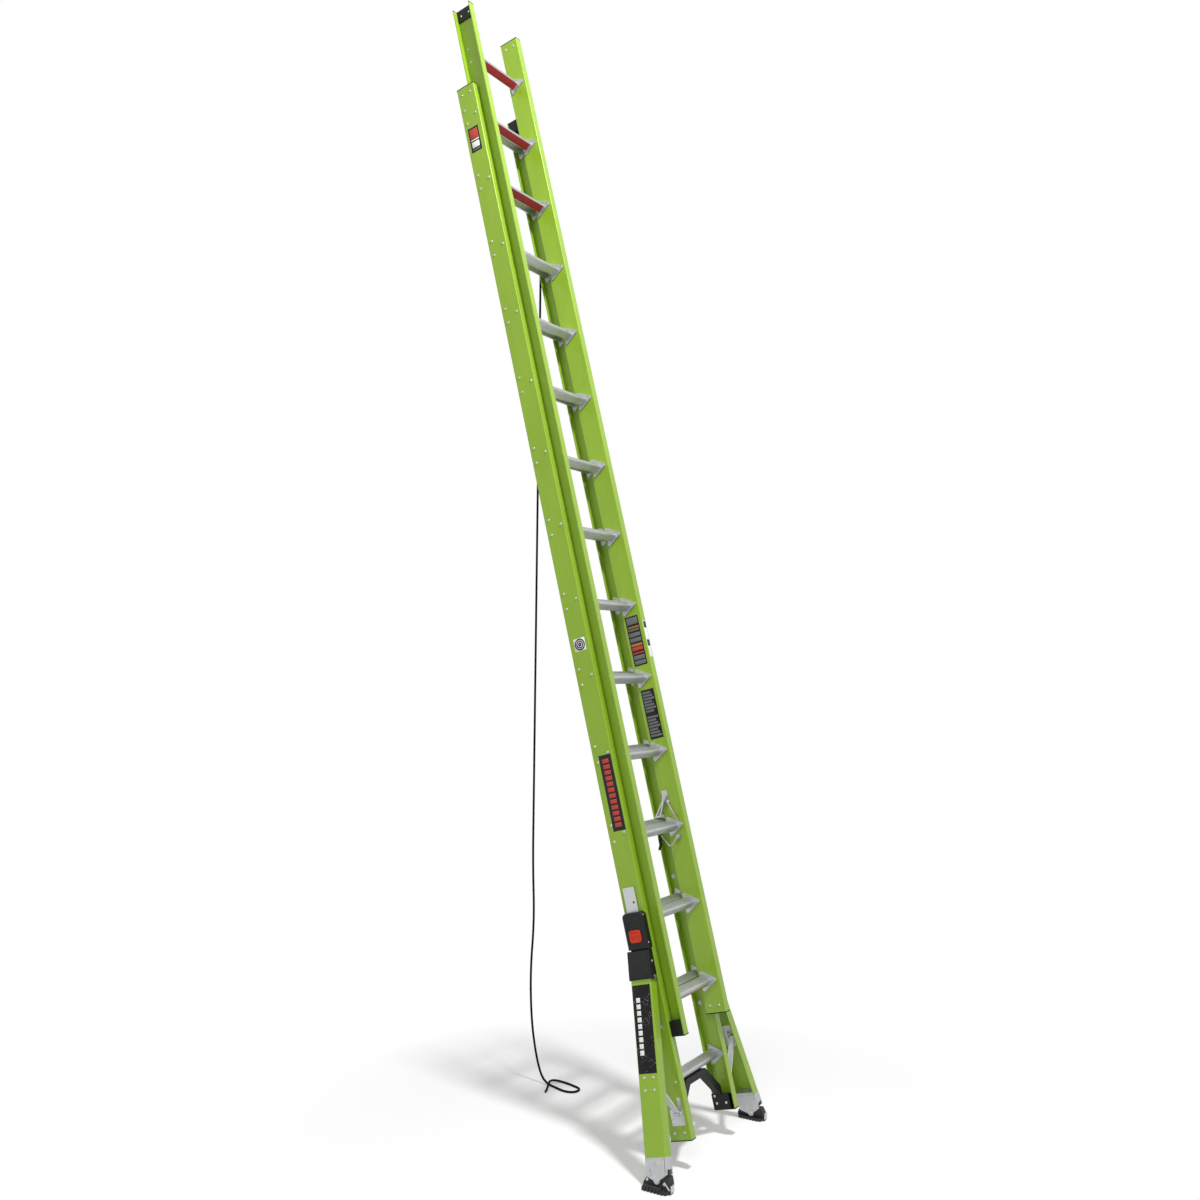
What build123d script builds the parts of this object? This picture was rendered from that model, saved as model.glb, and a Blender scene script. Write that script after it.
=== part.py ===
from build123d import *
import math
import os

# Ladder stance
lean = 14.4
pin_height = 37.7945
pin_behind = 8.9345

# Rails of both sections
base_half = 200.0
rail_depth = 89.0
rail_wall = 4.0
rail_flange = 32.0
rail_corner = 3.0
nest_gap = 6.0
fly_offset = 54.5
base_foot = 201.0
base_head = 134.0
fly_foot = 124.0
fly_head = 214.0

# Rungs and their end plates
rung_count = 14
rung_pitch = 304.8
fly_raise = 284.6
rung_back = 16.0
rung_half = 28.0
rung_tip = 42.0
rung_corner = 7.0
rung_wall = 2.0
plate_back = 12.0
plate_half = 44.0
plate_tip = 74.0
plate_corner = 6.0
plate_thickness = 5.0

# Rivets
rivet_radius = 5.0
rivet_height = 2.2
rivet_back = 21.0
rivet_apex = 72.0
rivet_rise = 31.0

# Rail end plugs and guides
cap_height = 4.0
guide_height = 50.0
guide_clearance = 0.6
plug_thickness = 6.0

# Bottom brace
brace_back = 20.0
brace_front = 46.0
brace_bar = 24.0
brace_gap = 0.5
brace_bend = 64.0
brace_plate = 8.0
brace_arm = 28.0
brace_plate_height = 59.0
brace_plate_front = 74.0
brace_root = 30.0
brace_lap = 4.0
brace_margin = 1.0

# Outrigger track on the base rail
track_rib = 3.0
track_cap = 3.0
track_back = 17.0
track_width = 50.0
track_lip = 8.0
track_foot = 190.0
track_head = 709.0
track_hole_n = 54.3
track_hole_s = 653.0
track_hole_radius = 4.0
slide_clearance = 0.5

# Slider, its button and its tongue
slider_out = 31.0
slider_back = 4.0
slider_front = 93.0
slider_foot = 484.0
slider_height = 134.0
slider_round = 5.0
slider_shoulder = 16.0
button_n = 47.0
button_s = 532.5
button_width = 50.0
button_height = 45.0
button_proud = 4.0
button_depth = 10.0
button_travel = 5.0
button_gap = 0.6
tongue_back = 8.0
tongue_front = 78.0
tongue_in = 8.5
tongue_thickness = 10.5
tongue_boss = 12.0

# Leg hinge and leg
hinge_out = 22.0
hinge_s = 381.0
splay = 13.785
leg_face = 27.4
leg_back = 1.0
leg_depth = 84.0
leg_flange = 42.0
leg_above = 20.0
leg_below = 602.0
hinge_pin = 5.0
pin_clearance = 0.05
pin_head = 3.0
yoke_wall = 4.8
yoke_gap = 0.2
yoke_above = 95.0
yoke_below = 8.0
yoke_rail_gap = 4.5

# Strut and its two hinges
strut_foot_out = 13.0
strut_foot_s = -105.0
strut_head_out = 119.0
strut_head_s = 31.0
strut_pin = 4.0
strut_eye = 9.0
strut_head_eye = 6.0
strut_thickness = 6.0
strut_back = 49.0
strut_front = 71.0
lug_gap = 1.0
lug_wall = 4.0
lug_margin = 6.0
slot_half = 5.0
slot_up = 9.6
slot_out = 3.6
hinge_plate = 3.0
rail_plate_back = 24.0
rail_plate_width = 54.0
rail_plate_tab = 16.0
rail_plate_margin = 2.0
rail_plate_foot = -150.0
rail_plate_height = 98.0
leg_plate_back = 12.0
leg_plate_width = 66.0
leg_plate_above = 44.0
leg_plate_below = 44.0
leg_rivet_back = 26.0
leg_rivet_front = 64.0
leg_rivet_rise = 21.0

# Boot and shoe
boot_insert = 12.0
boot_sleeve = 40.0
boot_skirt = 16.0
boot_cheek = 6.0
boot_lobe = 12.0
lobe_back = 8.0
lobe_drop = 5.0
shoe_pivot_n = 49.6
shoe_pivot_drop = 67.8
shoe_pin = 5.0
shoe_side_gap = 1.0
shoe_shift = 15.4
shoe_width = 62.0
shoe_front = 37.0
shoe_length = 107.0
shoe_slab = 12.0
shoe_toe = 28.0
shoe_heel = 8.0
shoe_rim = 9.0
shoe_rim_height = 22.0
rib_depth = 2.5
rib_margin = 4.0
groove_count = 8
groove_width = 6.0
groove_depth = 7.0
spur_thickness = 3.0
spur_width = 22.0
spur_height = 24.0

# Pulley and rope
rope_radius = 4.75
rope_lead = 24.0
pulley_radius = 30.0
pulley_out = 6.0
pulley_n = 104.0
pulley_s = 3936.0
wheel_width = 14.0
wheel_rim = 34.0
wheel_groove = 10.4
wheel_bore = 5.05
axle_radius = 5.0
bracket_sheet = 3.0
anchor_s = 240.0
anchor_height = 14.0

# Rung locks
lock_rung = 3
lock_inset = 19.0
hook_thickness = 6.0
hook_n = 82.0
hook_rise = 113.8
hook_pin = 4.0
hook_eye = 8.0
jaw_back = 26.0
jaw_front = 56.0
jaw_height = 8.0
jaw_gap = 1.0
lock_leg = 6.0
lock_plate = 6.0
tongue_pin = 3.5
tongue_pin_n = 108.0
tongue_pin_drop = 44.2
wire_radius = 2.0

# Values that follow from the sizes above
top_rung = (rung_count - 1) * rung_pitch
base_web_in = base_half - rail_wall
base_tip = base_half - rail_flange
fly_web_out = base_tip - nest_gap
fly_web_in = fly_web_out - rail_wall
fly_tip = fly_web_in + rail_flange
base_low = -base_foot
base_high = top_rung + base_head
fly_low = fly_raise - fly_foot
fly_high = fly_raise + top_rung + fly_head
hinge_x = base_half + hinge_out
strut_foot_x = base_half + strut_foot_out
strut_head_x = base_half + strut_head_out
pulley_x = base_half + pulley_out
lock_x = fly_web_in - lock_inset
shoe_pivot_u = leg_below + shoe_pivot_drop
rung_slope = math.atan2(rung_half, rung_tip)
rung_reach = rung_half - rung_corner * (math.tan(rung_slope) + 1 / math.cos(rung_slope) - 1)
splay_sin = math.sin(math.radians(splay))
splay_cos = math.cos(math.radians(splay))
lean_sin = math.sin(math.radians(lean))
lean_cos = math.cos(math.radians(lean))
pivot_s = hinge_s - shoe_pivot_u * splay_cos
shoe_x = hinge_x + shoe_pivot_u * splay_sin + shoe_shift
ground_y = pin_behind + shoe_pivot_n * lean_cos - pivot_s * lean_sin
ground_z = pin_height - shoe_pivot_n * lean_sin - pivot_s * lean_cos

stand = Pos(0, ground_y, ground_z) * Rot(-lean, 0, 0)
leg_frame = Pos(hinge_x, 0, hinge_s) * Rot(0, -splay, 0)


def block(xs, ns, ss):
    """Box from its limits: across the ladder, forward from the base rail's back, and up the rails."""
    centre = Pos(sum(xs) / 2, -sum(ns) / 2, sum(ss) / 2)
    return centre * Box(xs[1] - xs[0], ns[1] - ns[0], ss[1] - ss[0])


def prism_across(points, x0, x1):
    """Extrude a profile of (forward, up) points across the ladder."""
    face = make_face(Polyline(*[(0, -n, s) for n, s in points], close=True))
    return Pos(x0, 0, 0) * extrude(face, amount=x1 - x0, dir=(1, 0, 0))


def prism_forward(points, n0, n1):
    """Extrude a profile of (across, up) points forward."""
    face = make_face(Polyline(*[(x, 0, s) for x, s in points], close=True))
    return Pos(0, -n0, 0) * extrude(face, amount=n1 - n0, dir=(0, -1, 0))


def rod_across(radius, x0, x1, n, s):
    return Pos((x0 + x1) / 2, -n, s) * Rot(0, 90, 0) * Cylinder(radius, x1 - x0)


def rod_forward(radius, n0, n1, x, s):
    return Pos(x, -(n0 + n1) / 2, s) * Rot(90, 0, 0) * Cylinder(radius, n1 - n0)


def channel(web, tip, back, front, wall, low, high):
    """Straight channel: web at one side, flanges running to tip."""
    side = 1 if tip > web else -1
    outer = block(sorted((web, tip)), (back, front), (low, high))
    hollow = sorted((web + side * wall, tip + side * wall))
    inner = block(hollow, (back + wall, front - wall), (low - 1, high + 1))
    edges = outer.edges().filter_by(Axis.Z).filter_by(lambda e: abs(e.center().X - web) < 0.01)
    return fillet(edges, rail_corner) - inner


def rounded_triangle(back, half, tip, corner):
    """Triangle with its long side at the back and its tip forward, as (forward, up)."""
    points = [(0, -back, half), (0, -back - tip, 0), (0, -back, -half)]
    face = make_face(Polyline(*points, close=True))
    return fillet(face.vertices(), corner)


def dome():
    """Rivet head that stands on the plane x = 0 and points along +X."""
    head = Cylinder(rivet_radius, rivet_height, align=(Align.CENTER, Align.CENTER, Align.MIN))
    head = fillet(head.edges().group_by(Axis.Z)[-1], rivet_height * 0.7)
    return Rot(0, 90, 0) * head


def save(name, shape):
    solids = shape if isinstance(shape, list) else [shape]
    placed = [stand * solid for solid in solids]
    export_step(placed[0] if len(placed) == 1 else Compound(children=placed), "parts/" + name + ".step")


def save_world(name, shape):
    export_step(shape, "parts/" + name + ".step")


def flip(shape):
    return mirror(shape, Plane.YZ)


def save_pair(name, shape):
    """Save the +X piece as right and its mirror image as left."""
    solids = shape if isinstance(shape, list) else [shape]
    save(name + "_right", solids)
    save(name + "_left", [flip(solid) for solid in solids])


def make_rungs(half_length, back, first):
    """All rungs of one section: hollow bars, each one set between two end plates."""
    outer = rounded_triangle(back + rung_back, rung_half, rung_tip, rung_corner)
    inner_tip = rung_tip - rung_wall - rung_wall / math.sin(rung_slope)
    inner_half = inner_tip * math.tan(rung_slope)
    inner = rounded_triangle(back + rung_back + rung_wall, inner_half, inner_tip, rung_corner - rung_wall)
    plate = rounded_triangle(back + plate_back, plate_half, plate_tip, plate_corner)
    reach = half_length - plate_thickness
    bar = Pos(-reach, 0, 0) * extrude(outer, amount=2 * reach, dir=(1, 0, 0))
    bar -= Pos(-half_length, 0, 0) * extrude(inner, amount=2 * half_length, dir=(1, 0, 0))
    sheet = extrude(plate, amount=plate_thickness, dir=(1, 0, 0))
    solids = []
    for i in range(rung_count):
        level = Pos(0, 0, first + i * rung_pitch)
        solids += [level * bar, level * Pos(-half_length, 0, 0) * sheet, level * Pos(reach, 0, 0) * sheet]
    return solids


def rung_rivets(web, back, first, skipped):
    """Rivet heads on both webs, three at each rung that no other piece covers."""
    head = dome()
    heads = []
    for i in range(rung_count):
        if i in skipped:
            continue
        s = first + i * rung_pitch
        spots = ((rivet_back, rivet_rise), (rivet_back, -rivet_rise), (rivet_apex, 0))
        for n, rise in spots:
            right = Pos(web, -back - n, s + rise) * head
            heads.append(right)
            heads.append(flip(right))
    return heads


def make_base_rails():
    rail = channel(base_half, base_tip, 0, rail_depth, rail_wall, base_low, base_high)
    save_pair("base_rail", rail)


def make_fly_rails():
    front = fly_offset + rail_depth
    rail = channel(fly_web_in, fly_tip, fly_offset, front, rail_wall, fly_low, fly_high)
    save_pair("fly_rail", rail)


def make_base_ends():
    """Guide at the head of each base rail, with a slot for the fly rail's back flange, and plug at the foot."""
    slot = (fly_offset - guide_clearance, fly_offset + rail_wall + guide_clearance)
    inside = (rail_wall, rail_depth - rail_wall)
    low = base_high - guide_height
    guide = block((base_tip, base_web_in), inside, (low, base_high))
    guide += block((base_tip, base_half), (0, rail_depth), (base_high, base_high + cap_height))
    guide -= block((base_tip - 1, fly_tip + nest_gap / 3), slot, (low - 1, base_high + cap_height + 1))
    save_pair("base_top_guide", [solid for solid in guide.solids()])
    plug = block((base_web_in - plug_thickness, base_web_in), inside, (base_low, base_low + guide_height))
    plug += block((base_tip, base_half), (0, rail_depth), (base_low - cap_height, base_low))
    save_pair("base_bottom_plug", plug)


def make_fly_ends():
    """Guide at the foot of each fly rail, with a slot for the base rail's front flange, and plug at the head."""
    front = fly_offset + rail_depth
    inside = (fly_offset + rail_wall, front - rail_wall)
    slot = (rail_depth - rail_wall - guide_clearance, rail_depth + guide_clearance)
    guide = block((fly_web_out, fly_tip), inside, (fly_low, fly_low + guide_height))
    guide += block((fly_web_in, fly_tip), (fly_offset, front), (fly_low - cap_height, fly_low))
    span = (fly_low - cap_height - 1, fly_low + guide_height + 1)
    guide -= block((base_tip - guide_clearance, fly_tip + 1), slot, span)
    save_pair("fly_bottom_guide", guide)
    plug = block((fly_web_out, fly_web_out + plug_thickness), inside, (fly_high - guide_height, fly_high))
    plug += block((fly_web_in, fly_tip), (fly_offset, front), (fly_high, fly_high + cap_height))
    plug -= block((fly_web_out + plug_thickness, fly_tip + 1), inside, (fly_high, fly_high + cap_height + 1))
    save_pair("fly_top_plug", plug)


def make_brace():
    """Bar under the lowest rung with an arm down to a plate on the mouth of each rail foot."""
    rung_drop = rung_reach + brace_gap
    inner = base_tip - brace_plate
    top = -rung_drop
    plate_top = base_low + brace_plate_height
    right = [
        (brace_bend + brace_arm / 2, top),
        (base_tip, plate_top + brace_root),
        (base_tip, plate_top - brace_lap),
        (inner, plate_top - brace_lap),
        (brace_bend - brace_arm / 4, top - brace_bar),
    ]
    left = [(-x, s) for x, s in reversed(right)]
    brace = prism_forward(right + left, brace_back, brace_front)
    plate_n = (brace_margin, brace_plate_front)
    plate = block((inner, base_tip), plate_n, (base_low, plate_top))
    brace = brace + plate + flip(plate)
    save("bottom_brace", brace)


def make_track():
    """Strip on a raised rib, so that the slider's lips hold under its edges."""
    rib_back = track_back + track_lip
    rib_front = track_back + track_width - track_lip
    face = base_half + track_rib
    track = block((base_half, face), (rib_back, rib_front), (track_foot, track_head))
    cap_span = (track_back, track_back + track_width)
    track += block((face, face + track_cap), cap_span, (track_foot, track_head))
    hole = rod_across(track_hole_radius, face - 1, face + track_cap + 1, track_hole_n, track_hole_s)
    track -= hole
    save_pair("track", track)


def make_slider():
    """Housing that runs on the track, with a tongue down to the leg hinge."""
    face = base_half + track_rib
    top = slider_foot + slider_height
    body = block((base_half + 0.8, base_half + slider_out), (slider_back, slider_front), (slider_foot, top))
    corners = body.edges().filter_by(Axis.X).group_by(Axis.Z)[-1]
    body = fillet(corners, slider_shoulder)
    rims = body.edges().filter_by(lambda e: e.center().X > base_half + slider_out - 0.01)
    body = fillet(rims, slider_round)
    rib_back = track_back + track_lip - slide_clearance
    rib_front = track_back + track_width - track_lip + slide_clearance
    run = (slider_foot - 1, top + 1)
    body -= block((base_half, face), (rib_back, rib_front), run)
    cap_back = track_back - slide_clearance
    cap_front = track_back + track_width + slide_clearance
    body -= block((face - slide_clearance, face + track_cap + slide_clearance), (cap_back, cap_front), run)
    half_w = button_width / 2 + button_gap
    half_h = button_height / 2 + button_gap
    outer = base_half + slider_out
    floor = outer - button_depth + button_proud - button_travel - 1
    body -= block(
        (floor, outer + 1),
        (button_n - half_w, button_n + half_w),
        (button_s - half_h, button_s + half_h),
    )
    inner = base_half + tongue_in
    tongue_n = (tongue_back, tongue_front)
    body += block((inner, inner + tongue_thickness), tongue_n, (hinge_s, slider_foot + 2))
    body += rod_forward(tongue_boss, tongue_back, tongue_front, hinge_x, hinge_s)
    body -= rod_forward(hinge_pin + pin_clearance, tongue_back - 1, tongue_front + 1, hinge_x, hinge_s)
    save_pair("slider", body)
    key = block(
        (outer + button_proud - button_depth, outer + button_proud),
        (button_n - button_width / 2, button_n + button_width / 2),
        (button_s - button_height / 2, button_s + button_height / 2),
    )
    rims = key.edges().filter_by(lambda e: e.center().X > outer + button_proud - 0.01)
    save_pair("button", fillet(rims, 3))


def leg_block(vs, ns, us):
    """Box in the leg's own frame: outward from the hinge, forward, and down the leg."""
    return block(vs, ns, (-us[1], -us[0]))


def make_leg():
    """Channel leg with yoke, hinge pin, rivets and the slotted lugs for the strut."""
    tip = leg_face - leg_flange
    front = leg_back + leg_depth
    leg = channel(leg_face, tip, leg_back, front, rail_wall, -leg_below, leg_above)
    pin_hole = rod_forward(hinge_pin + pin_clearance, leg_back - 20, front + 20, 0, 0)
    leg -= pin_hole
    save_pair("leg", leg_frame * leg)

    cheek_in = [base_half + yoke_rail_gap - hinge_x + u * splay_sin for u in (yoke_above, -yoke_below)]
    high_v = cheek_in[0] / splay_cos
    low_v = max(cheek_in[1] / splay_cos, tip)
    face = leg_face + yoke_gap
    cheek = [(low_v, -yoke_below), (face, -yoke_below), (face, yoke_above), (high_v, yoke_above)]
    rear = (leg_back - yoke_gap - yoke_wall, leg_back - yoke_gap)
    fore = (front + yoke_gap, front + yoke_gap + yoke_wall)
    yoke = prism_forward(cheek, *rear) + prism_forward(cheek, *fore)
    yoke += leg_block((face, face + yoke_wall), (rear[0], fore[1]), (-yoke_above, yoke_below))
    rims = yoke.edges().filter_by(lambda e: e.center().X > face + yoke_wall - 0.01)
    yoke = fillet(rims, yoke_wall * 0.6) - pin_hole
    save_pair("yoke", leg_frame * yoke)

    pin = rod_forward(hinge_pin, rear[0] - pin_head, fore[1] + pin_head, 0, 0)
    pin += rod_forward(hinge_pin + 3, rear[0] - pin_head, rear[0], 0, 0)
    pin += rod_forward(hinge_pin + 3, fore[1], fore[1] + pin_head, 0, 0)
    save_pair("leg_pin", leg_frame * pin)

    web_in = leg_face - rail_wall
    head_u, head_v = strut_head_on_leg()
    plate_n = (leg_plate_back, leg_plate_back + leg_plate_width)
    lug_us = (head_u - slot_up - strut_eye - lug_margin, head_u + strut_eye + 2)
    lugs = leg_block((web_in - hinge_plate, web_in), plate_n, (head_u - leg_plate_above, head_u + leg_plate_below))
    for lug_n in lug_spans():
        lugs += leg_block((head_v - strut_eye, web_in - hinge_plate), lug_n, lug_us)
        lugs -= slot_cut(lug_n, head_u, head_v)
    save_pair("leg_lug", leg_frame * lugs)

    head = dome()
    heads = []
    for u in (head_u - leg_rivet_rise, head_u + leg_rivet_rise):
        for n in (leg_rivet_back, leg_rivet_front):
            heads.append(leg_frame * Pos(leg_face, -n, -u) * head)
    save_pair("leg_rivets", heads)


def strut_head_on_leg():
    """Place of the strut's head pin in the leg's frame, as (down the leg, outward)."""
    dx = strut_head_x - hinge_x
    drop = hinge_s - strut_head_s
    return dx * splay_sin + drop * splay_cos, dx * splay_cos - drop * splay_sin


def lug_spans():
    rear = strut_back - lug_gap
    fore = strut_front + lug_gap
    return (rear - lug_wall, rear), (fore, fore + lug_wall)


def slot_cut(lug_n, head_u, head_v):
    """Slanted slot that lets the head pin ride up while the leg folds."""
    span = (lug_n[0] - 1, lug_n[1] + 1)
    ends = ((head_v, -head_u), (head_v + slot_out, -head_u + slot_up))
    run = math.hypot(slot_out, slot_up)
    tilt = math.degrees(math.atan2(slot_out, slot_up))
    slot = rod_forward(slot_half, *span, *ends[0]) + rod_forward(slot_half, *span, *ends[1])
    bar = Box(2 * slot_half, span[1] - span[0], run)
    centre = Pos((ends[0][0] + ends[1][0]) / 2, -sum(span) / 2, (ends[0][1] + ends[1][1]) / 2)
    return slot + centre * Rot(0, tilt, 0) * bar


def make_strut():
    """Flat bar with a pin across each end, and the plate with lugs on the base rail."""
    dx = strut_head_x - strut_foot_x
    ds = strut_head_s - strut_foot_s
    length = math.hypot(dx, ds)
    tilt = math.degrees(math.atan2(dx, ds))
    pin_n = (lug_spans()[0][0] - 2, lug_spans()[1][1] + 2)
    bar = block((-strut_thickness / 2, strut_thickness / 2), (strut_back, strut_front), (0, length))
    bar += rod_forward(strut_eye, strut_back, strut_front, 0, 0)
    bar += rod_forward(strut_head_eye, strut_back, strut_front, 0, length)
    bar += rod_forward(strut_pin, *pin_n, 0, 0)
    bar += rod_forward(strut_pin, *pin_n, 0, length)
    save_pair("strut", Pos(strut_foot_x, 0, strut_foot_s) * Rot(0, tilt, 0) * bar)

    face = base_half + hinge_plate
    plate_n = (rail_plate_back, rail_plate_back + rail_plate_width)
    shoulder = strut_foot_s + strut_eye + rail_plate_margin
    plate = block((base_half, face), plate_n, (rail_plate_foot, shoulder))
    tab_n = (plate_n[1] - rail_plate_tab, plate_n[1])
    plate += block((base_half, face), tab_n, (shoulder, rail_plate_foot + rail_plate_height))
    for lug_n in lug_spans():
        plate += block((face, strut_foot_x), lug_n, (strut_foot_s - strut_eye, strut_foot_s + strut_eye))
        plate += rod_forward(strut_eye, *lug_n, strut_foot_x, strut_foot_s)
        span = (lug_n[0] - 1, lug_n[1] + 1)
        plate -= rod_forward(strut_pin + pin_clearance, *span, strut_foot_x, strut_foot_s)
    save_pair("strut_plate", plate)


def make_boot():
    """Cast boot in the leg's end, with two cheeks around the shoe."""
    tip = leg_face - leg_flange
    front = leg_back + leg_depth
    low = leg_below + boot_sleeve
    boot = leg_block((tip, leg_face), (leg_back, front), (leg_below, low))
    boot += leg_block(
        (tip + 1, leg_face - rail_wall - yoke_gap),
        (leg_back + rail_wall + yoke_gap, front - rail_wall - yoke_gap),
        (leg_below - boot_insert, leg_below),
    )
    skirt = low + boot_skirt
    lobe_n = shoe_pivot_n - lobe_back
    lobe_u = shoe_pivot_u + lobe_drop
    outline = [(leg_back, -low), (front, -low), (front, -skirt)]
    outline += [(lobe_n + boot_lobe, -lobe_u), (lobe_n - boot_lobe, -lobe_u), (leg_back, -skirt)]
    for v in (tip, leg_face - boot_cheek):
        boot += prism_across(outline, v, v + boot_cheek)
        boot += rod_across(boot_lobe, v, v + boot_cheek, lobe_n, -lobe_u)
    boot -= rod_across(shoe_pin + pin_clearance, tip - 1, leg_face + 1, shoe_pivot_n, -shoe_pivot_u)
    save_pair("boot", leg_frame * boot)


def make_shoe():
    """Rubber shoe flat on the floor, with an upstand between the boot's cheeks and a ribbed outer rim."""
    tip = leg_face - leg_flange
    upstand_v = (tip + boot_cheek + shoe_side_gap, leg_face - boot_cheek - shoe_side_gap)
    back = shoe_length - shoe_front
    centre = Pos(shoe_x, (back - shoe_front) / 2, 0)
    slab = centre * Pos(0, 0, shoe_slab / 2) * Box(shoe_width, shoe_length, shoe_slab)
    corners = slab.edges().filter_by(Axis.Z).group_by(Axis.Y)
    slab = fillet(corners[0], shoe_toe)
    corners = slab.edges().filter_by(Axis.Z).group_by(Axis.Y)
    slab = fillet(corners[-1], shoe_heel)
    profile = [
        (back, shoe_slab / 2),
        (back + 4, shoe_slab + 6),
        (back - 5, shoe_slab + 24),
        (back - 16, shoe_slab + 31),
        (pin_behind, shoe_slab + 38),
        (10 - shoe_front, shoe_slab + 41),
        (2 - shoe_front, shoe_slab + 21),
        (-shoe_front, shoe_slab / 2),
    ]
    face = make_face(Polyline(*[(0, y, z) for y, z in profile], close=True))
    side = extrude(face, amount=2 * shoe_x, dir=(1, 0, 0))
    reach = (shoe_pivot_n - 2 * shoe_length, shoe_pivot_n + 2 * shoe_length)
    column = leg_block(upstand_v, reach, (leg_below, shoe_pivot_u + shoe_length))
    upstand = (stand * leg_frame * column) & side
    rim_y = (shoe_toe - shoe_front, back - shoe_heel)
    outer_x = shoe_x + shoe_width / 2
    rim = Pos(outer_x - shoe_rim / 2, sum(rim_y) / 2, shoe_rim_height / 2)
    rim = rim * Box(shoe_rim, rim_y[1] - rim_y[0], shoe_rim_height)
    shoe = slab + upstand + rim
    pitch = shoe_length / groove_count
    for i in range(groove_count):
        y = (i + 0.5) * pitch - shoe_front
        shoe -= Pos(shoe_x, y, 0) * Box(shoe_width + 2, groove_width, 2 * groove_depth)
        shoe -= Pos(outer_x, y, 0) * Box(2 * rib_depth, groove_width, 2 * (shoe_rim_height - rib_margin))
    hole = rod_across(shoe_pin, tip - 10, leg_face + 10, shoe_pivot_n, -shoe_pivot_u)
    shoe -= stand * leg_frame * hole
    pin = rod_across(shoe_pin, tip - 3, leg_face + 3, shoe_pivot_n, -shoe_pivot_u)
    pin = stand * leg_frame * pin
    spur = Pos(shoe_x, -shoe_front - spur_thickness / 2, groove_depth + spur_height / 2)
    spur = spur * Box(spur_width, spur_thickness, spur_height)
    for name, piece in (("shoe", shoe), ("shoe_pin", pin), ("shoe_spur", spur)):
        save_world(name + "_right", piece)
        save_world(name + "_left", flip(piece))


def make_pulley():
    """Wheel beside the right rail's head, on a bracket riveted to the base rail."""
    half = wheel_width / 2
    wheel = rod_forward(wheel_rim, pulley_n - half, pulley_n + half, pulley_x, pulley_s)
    groove = rod_forward(wheel_rim + 1, pulley_n - wheel_groove / 2, pulley_n + wheel_groove / 2, pulley_x, pulley_s)
    root = pulley_radius - rope_radius - 0.3
    groove -= rod_forward(root, pulley_n - half, pulley_n + half, pulley_x, pulley_s)
    wheel -= groove
    wheel -= rod_forward(wheel_bore, pulley_n - half - 1, pulley_n + half + 1, pulley_x, pulley_s)
    save("pulley_wheel", wheel)

    rear = (pulley_n - half - 3 - bracket_sheet, pulley_n - half - 3)
    fore = (pulley_n + half + 3, pulley_n + half + 3 + bracket_sheet)
    roof = pulley_s + pulley_radius + rope_radius + 8
    low = pulley_s - 70
    strap = (base_half, base_half + bracket_sheet)
    bracket = block(strap, (rivet_back - 4, rear[1]), (low, pulley_s - 16))
    bracket += block((pulley_x - 20, pulley_x + 20), rear, (low, roof + bracket_sheet))
    bracket += block((pulley_x - 10, pulley_x + 10), (rear[0], fore[1]), (roof, roof + bracket_sheet))
    bracket += block((pulley_x - 10, pulley_x + 10), fore, (pulley_s - 12, roof + bracket_sheet))
    bracket += rod_forward(axle_radius, rear[0], fore[1] + 3, pulley_x, pulley_s)
    save("pulley_bracket", bracket)


def cord(points, radius, least):
    """Tube along straight runs joined by tangent arcs."""
    vectors = [Vector(*p) for p in points]
    bends = []
    for a, b, c in zip(vectors, vectors[1:], vectors[2:]):
        run_in = b - a
        run_out = c - b
        turn = math.radians(run_in.get_angle(run_out))
        room = 0.45 * min(run_in.length, run_out.length) / math.tan(turn / 2)
        bends.append(min(room, least))
    path = FilletPolyline(*points, radius=bends)
    start = Plane(origin=path @ 0, z_dir=path % 0)
    tube = sweep(start * Circle(radius), path=path)
    ratio = tube.volume / (math.pi * radius * radius * path.length)
    print("cord length", round(path.length, 1), "bends", [round(r, 1) for r in bends], "volume ratio", round(ratio, 4))
    return tube


def in_world(x, n, s):
    return (x, -n * lean_cos + s * lean_sin + ground_y, n * lean_sin + s * lean_cos + ground_z)


def make_rope():
    """Free rope over the wheel and down to its loop on the floor, and the haul run to the fly's foot."""
    crown = pulley_s + pulley_radius + 3
    inner = pulley_x - pulley_radius
    outer = pulley_x + pulley_radius
    below = pulley_s - rope_lead
    lie = rope_radius + 0.4
    over = 3 * rope_radius + 1.2
    free = [
        in_world(inner, pulley_n, below),
        in_world(inner, pulley_n, crown),
        in_world(outer, pulley_n, crown),
        in_world(outer, pulley_n, below),
        (236.0, 996.0, 940.0),
        (241.0, 988.0, 700.0),
        (233.0, 1000.0, 480.0),
        (237.0, 994.0, 270.0),
        (252.0, 978.0, 120.0),
        (262.0, 955.0, 28.0),
        (254.0, 915.0, lie),
        (239.0, 870.0, lie),
        (224.0, 828.0, lie),
        (220.0, 796.0, lie),
        (230.5, 770.5, lie),
        (256.0, 760.0, lie),
        (281.5, 770.5, lie),
        (292.0, 796.0, lie),
        (304.0, 838.0, lie),
        (312.0, 880.0, lie),
        (300.0, 906.0, lie + 5.0),
        (272.0, 914.0, over),
        (240.0, 902.0, over),
        (206.0, 886.0, lie),
        (172.0, 872.0, lie),
    ]
    save_world("rope_free", cord(free, rope_radius, 60.0))
    top = anchor_s + anchor_height
    haul = Pos(inner, -pulley_n, (below + top) / 2) * Cylinder(rope_radius, below - top)
    save("rope_haul", haul)
    anchor = block(
        (fly_web_out, inner + 2 * rope_radius),
        (pulley_n - 2 * rope_radius, pulley_n + 2 * rope_radius),
        (anchor_s, top),
    )
    save("rope_anchor", anchor)


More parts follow.
